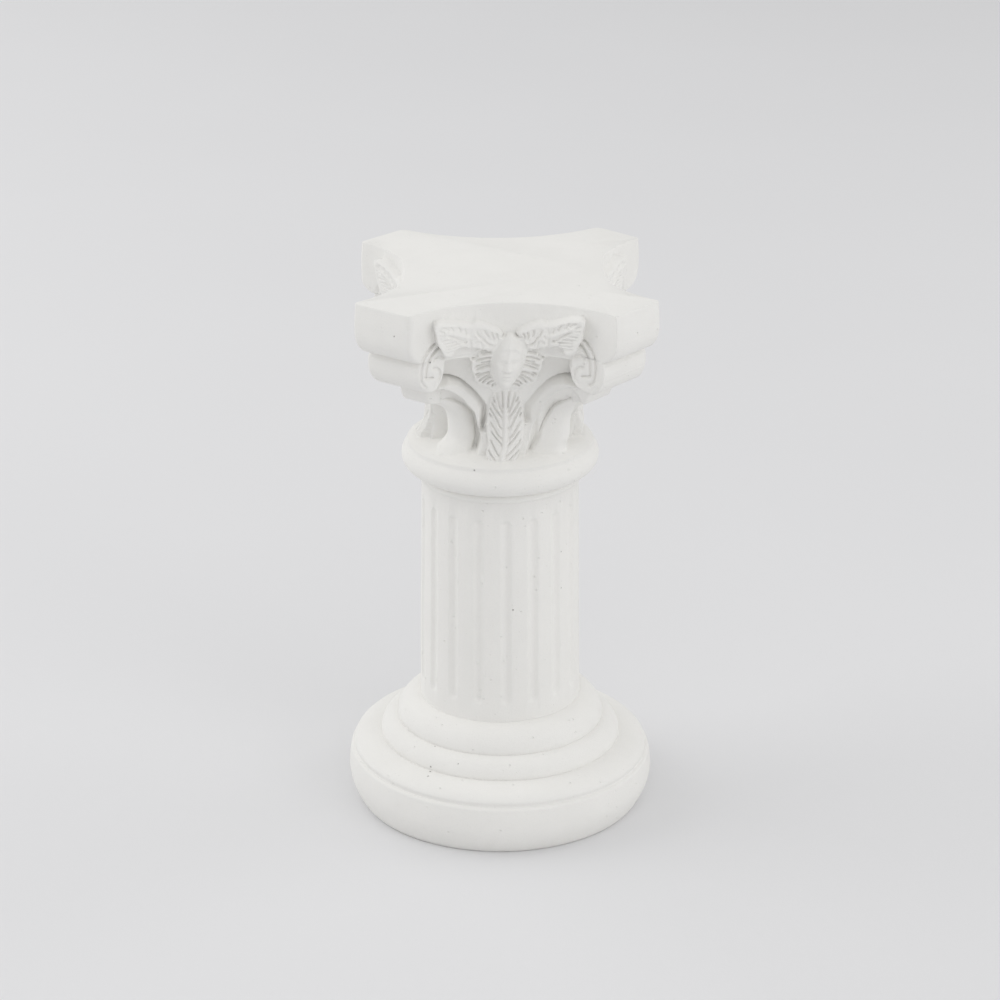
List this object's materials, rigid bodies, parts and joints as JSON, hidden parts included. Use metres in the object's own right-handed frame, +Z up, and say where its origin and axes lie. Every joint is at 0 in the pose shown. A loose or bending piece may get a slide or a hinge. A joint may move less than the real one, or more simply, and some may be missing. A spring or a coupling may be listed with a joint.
{
  "type": "roman column",
  "caption": "Small cast plaster column with a round stepped base, fluted shaft, ring moulding and carved capital; stands on its base as an ornament or display pedestal.",
  "frame": {"origin": "centre of the flat underside, on the axis of the shaft", "axes": "+Z up along the shaft; -Y is the front face of the capital; +X is to the right of someone who looks at that face"},
  "size_m": [0.0662, 0.0662, 0.12],
  "materials": {
    "plaster": "matte warm white cast plaster"
  },
  "bodies": {
    "root": {"roman_column": "plaster"}
  },
  "joints": []
}
